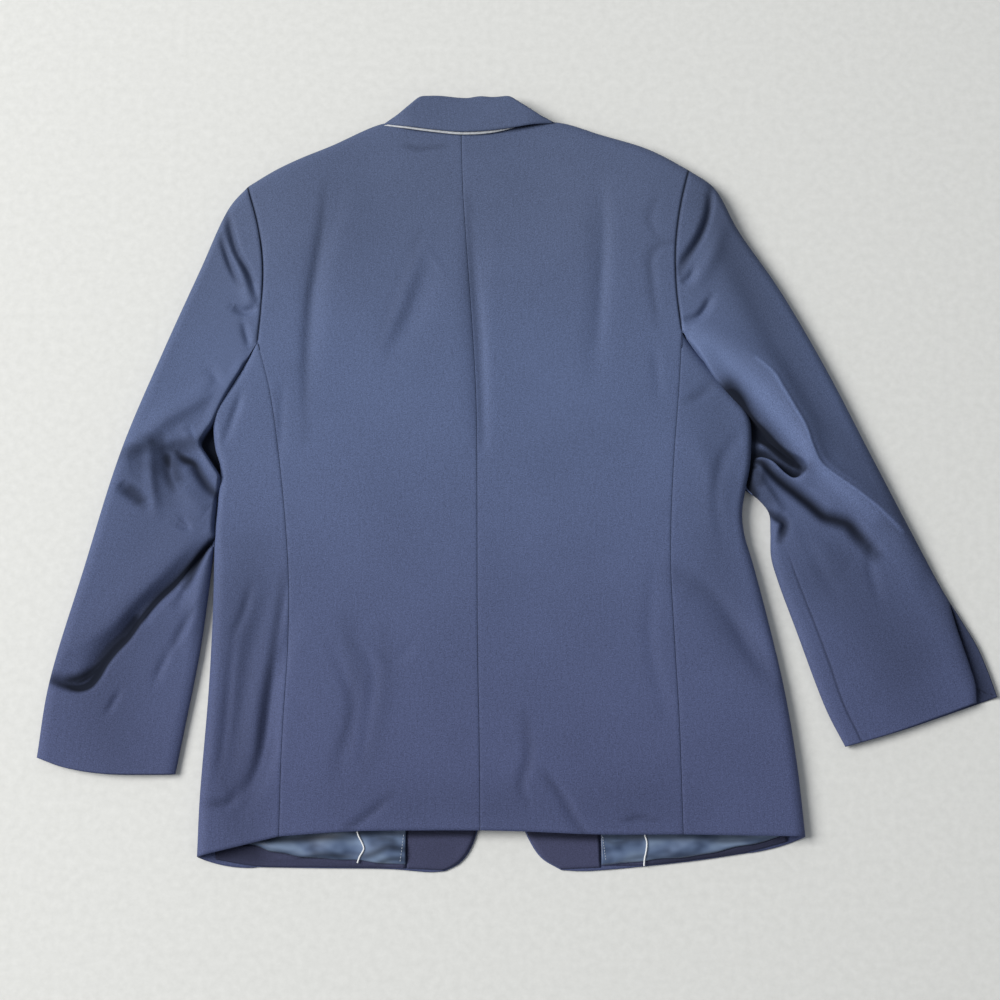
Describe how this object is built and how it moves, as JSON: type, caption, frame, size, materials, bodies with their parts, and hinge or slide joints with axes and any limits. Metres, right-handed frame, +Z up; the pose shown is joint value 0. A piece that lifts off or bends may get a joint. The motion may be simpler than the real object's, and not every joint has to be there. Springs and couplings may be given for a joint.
{
  "type": "blazer laid face down",
  "caption": "Single-breasted tailored blazer of navy wool laid face down with its back up, sleeves spread, hem and cuffs open.",
  "frame": {"origin": "on the surface it lies on, under the middle of its bounding box", "axes": "+X across the shoulders towards the wearer's right sleeve, +Y towards the collar, +Z up, away from the surface it lies on"},
  "size_m": [0.984, 0.8286, 0.0246],
  "materials": {
    "wool": "matt wool twill",
    "inside_wool": "matt wool",
    "satin": "soft satin lining",
    "felt": "matt felt",
    "button": "polished horn look"
  },
  "bodies": {
    "root": {"back_left": "wool", "back_right": "wool", "side_left": "wool", "side_right": "wool", "front_left": "wool", "front_right": "wool", "undersleeve_left": "wool", "undersleeve_right": "wool", "topsleeve_left": "wool", "topsleeve_right": "wool", "collar_fall": "wool", "collar_stand": "wool", "undercollar": "felt", "lapel_left": "wool", "lapel_right": "wool", "collar_end_left": "wool", "collar_end_right": "wool", "facing_left": "inside_wool", "facing_right": "inside_wool", "hem_left": "inside_wool", "hem_right": "inside_wool", "lining_left": "satin", "lining_right": "satin", "button_upper": "button", "button_lower": "button"}
  },
  "joints": []
}
